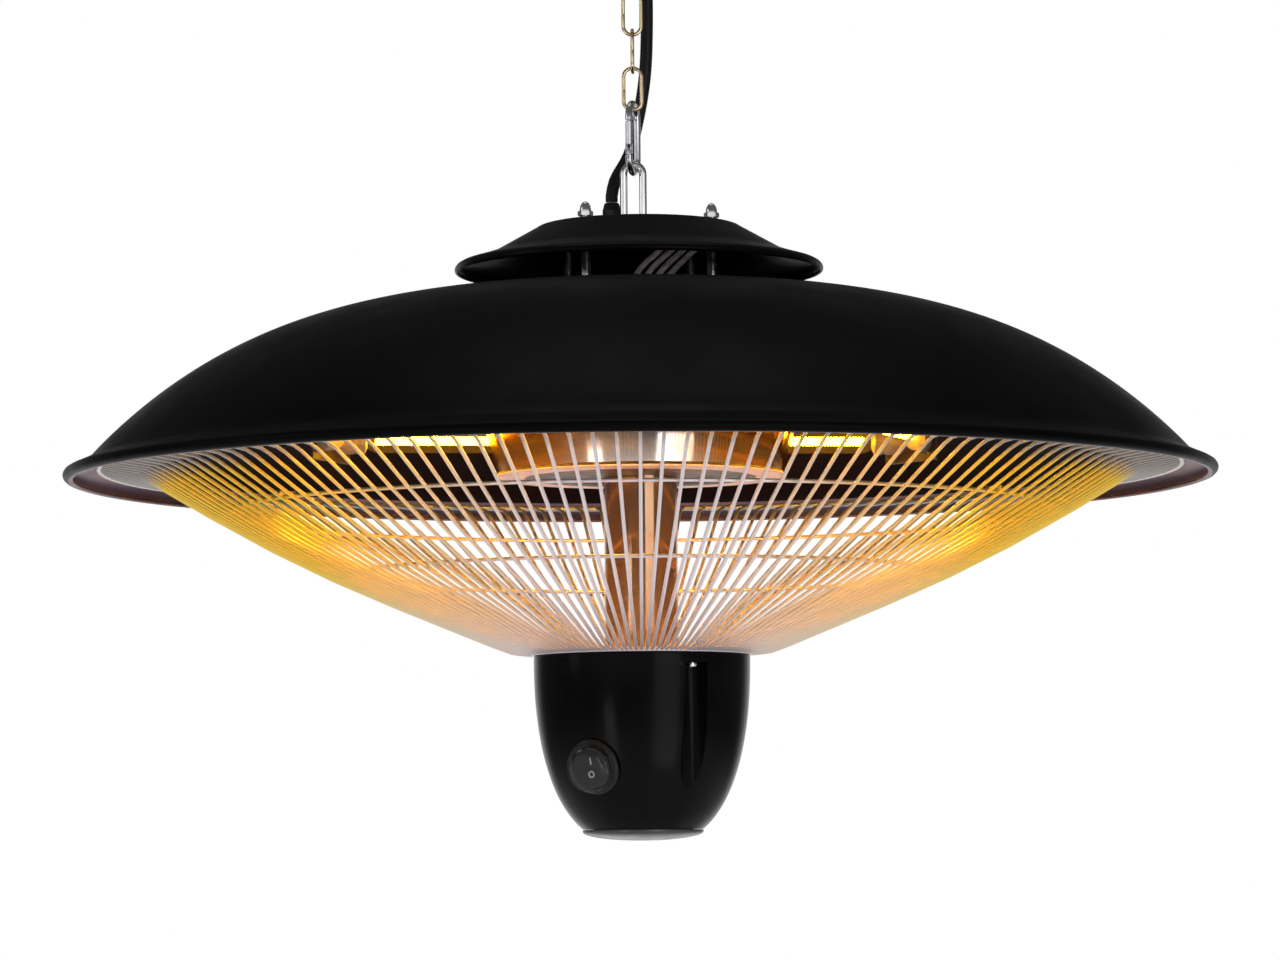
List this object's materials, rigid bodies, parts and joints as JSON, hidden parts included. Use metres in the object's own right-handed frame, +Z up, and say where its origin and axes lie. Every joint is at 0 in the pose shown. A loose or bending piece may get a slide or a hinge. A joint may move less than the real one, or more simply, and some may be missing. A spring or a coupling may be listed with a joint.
{
  "type": "hanging electric patio heater",
  "caption": "Domed electric patio heater with quartz lamps behind a bowl of radial wires, hung from a ceiling plate by a chain and snap hook, with its mains lead wound beside the chain.",
  "frame": {"origin": "middle of the ceiling plate's top face, above the chain's hang line", "axes": "+Z up out of the ceiling plate's face, -Y towards the front where the switch is, +X to the right of a person who faces the front"},
  "size_m": [0.5968, 0.5968, 0.5897],
  "materials": {
    "black_paint": "satin black powder coat",
    "polished_aluminium": "polished",
    "chrome": "bright plated wire and nuts",
    "zinc_steel": "zinc plated",
    "brassy_steel": "yellow passivated steel, brassy",
    "black_plastic": "gloss black",
    "black_rubber": "smooth black",
    "smoked_plastic": "grey, slightly purple",
    "gold_quartz": "gold-coated quartz tube with pale ends",
    "clear_silicone": "clear, soft",
    "nickel_pin": "nickel plated",
    "grey_sleeve": "matt sleeve",
    "white_nylon": "matt"
  },
  "bodies": {
    "ceiling": {"ceiling_plate": "zinc_steel", "ceiling_hook": "zinc_steel"},
    "top_link": {"chain_link_7": "brassy_steel"},
    "chain": {"chain_link_1": "brassy_steel", "chain_link_2": "brassy_steel", "chain_link_3": "brassy_steel", "chain_link_4": "brassy_steel", "chain_link_5": "brassy_steel", "chain_link_6": "brassy_steel", "snap_hook_body": "zinc_steel", "snap_gate_pin": "zinc_steel", "mains_lead": "black_rubber", "lead_coil": "black_rubber", "lead_tie": "black_plastic", "coil_tie": "black_plastic", "plug_body": "black_rubber", "plug_pin_left": "nickel_pin", "plug_pin_right": "nickel_pin"},
    "gate": {"snap_hook_gate": "zinc_steel"},
    "heater": {"cap_post_1": "zinc_steel", "cap_post_2": "zinc_steel", "cap_post_3": "zinc_steel", "cap_post_4": "zinc_steel", "support_plate": "zinc_steel", "lamp_bracket_1": "zinc_steel", "lamp_bracket_2": "zinc_steel", "lamp_bracket_3": "zinc_steel", "hanging_bow": "chrome", "bow_nut_left": "chrome", "bow_nut_right": "chrome", "bow_lock_nut_left": "chrome", "bow_lock_nut_right": "chrome", "cap_nut_1": "chrome", "cap_nut_2": "chrome", "cap_nut_3": "chrome", "cap_nut_4": "chrome", "grille": "chrome", "grille_inner_ring": "chrome", "grille_middle_ring": "chrome", "pod_screw_1": "chrome", "pod_screw_2": "chrome", "top_cap": "black_paint", "dome": "black_paint", "cable_gland": "black_plastic", "pod_shell": "black_plastic", "switch_body": "black_plastic", "terminal_block": "white_nylon", "inner_lead_1": "grey_sleeve", "inner_lead_2": "grey_sleeve", "inner_lead_3": "grey_sleeve", "inner_lead_4": "grey_sleeve", "central_tube": "polished_aluminium", "reflector": "polished_aluminium", "heating_lamp_1": "gold_quartz", "heating_lamp_2": "gold_quartz", "heating_lamp_3": "gold_quartz", "pod_end_cap": "smoked_plastic", "switch_boot": "clear_silicone"},
    "rocker": {"switch_rocker": "black_plastic"}
  },
  "joints": [
    {"name": "swing_side", "type": "hinge", "parent": "ceiling", "child": "top_link", "pos_m": [0, 0, -0.071], "axis": [0, 1, 0], "range_deg": [-20, 20]},
    {"name": "swing_front", "type": "hinge", "parent": "top_link", "child": "chain", "pos_m": [0, 0, -0.0894], "axis": [1, 0, 0], "range_deg": [-20, 20]},
    {"name": "heater_rock", "type": "hinge", "parent": "chain", "child": "heater", "pos_m": [0, 0, -0.2418], "axis": [0.2588, 0.9659, 0], "range_deg": [-15, 15], "deforming": ["mains_lead"]},
    {"name": "snap_gate", "type": "hinge", "parent": "chain", "child": "gate", "pos_m": [-0.0021, -0.00782, -0.2316], "axis": [-0.9659, 0.2588, 0], "range_deg": [0, 25], "stiffness_Nm_per_rad": 0.02, "springref_deg": -11.46},
    {"name": "power_rocker", "type": "hinge", "parent": "heater", "child": "rocker", "pos_m": [-0.0227, -0.04381, -0.55244], "axis": [0.866, -0.5, 0], "range_deg": [0, 14]}
  ]
}
